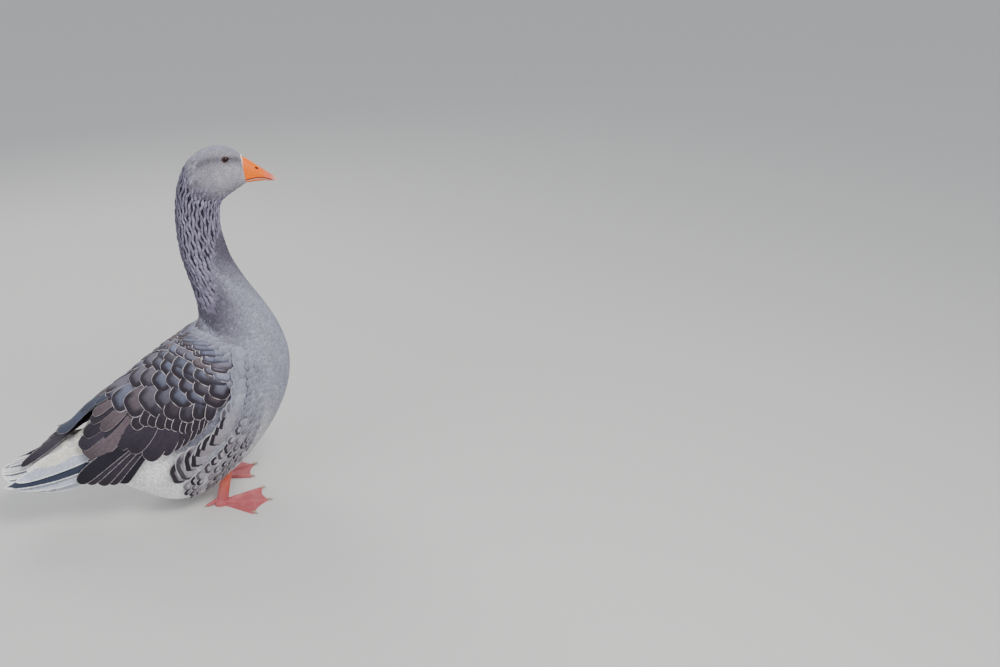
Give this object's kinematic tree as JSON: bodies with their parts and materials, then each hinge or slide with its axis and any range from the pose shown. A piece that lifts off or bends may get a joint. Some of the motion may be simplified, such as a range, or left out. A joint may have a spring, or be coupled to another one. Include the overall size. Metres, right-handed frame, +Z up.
{
  "type": "toulouse goose",
  "caption": "Life-size still model of a grey domestic goose, standing with its wings folded and its neck raised.",
  "frame": {"origin": "on the floor, under the middle of the bird's box", "axes": "+X the way the bird faces, +Y its left side, +Z up"},
  "size_m": [0.6502, 0.2706, 0.8174],
  "materials": {
    "plumage_grey": "close grey body feathers with paler edges, soft and matt",
    "plumage_dark": "dark grey-brown neck feathers lying in furrowed ridges, matt",
    "plumage_brown": "slate-brown wing feathers with thin pale edges, slight sheen",
    "plumage_white": "white tail and rump feathers with slate centres on the tail, matt",
    "bill": "smooth orange bill skin with a soft gloss",
    "bill_nail": "pale pink horn at the bill's tip, glossy",
    "leg_skin": "salmon-pink scaled skin of the legs, toes and webs, orange at the ankles",
    "claw": "pale horn",
    "eye": "dark red-brown wet eye"
  },
  "bodies": {
    "root": {"torso": "plumage_grey", "neck_lower": "plumage_grey", "neck_upper": "plumage_dark", "head": "plumage_grey", "tail": "plumage_white", "wing_right": "plumage_brown", "wing_left": "plumage_brown", "bill_upper": "bill", "bill_lower": "bill", "bill_nail": "bill_nail", "eye_right": "eye", "eye_left": "eye", "leg_right": "leg_skin", "leg_left": "leg_skin", "foot_right": "leg_skin", "foot_left": "leg_skin", "claw_inner_right": "claw", "claw_inner_left": "claw", "claw_middle_right": "claw", "claw_middle_left": "claw", "claw_outer_right": "claw", "claw_outer_left": "claw", "claw_hind_right": "claw", "claw_hind_left": "claw"}
  },
  "joints": []
}
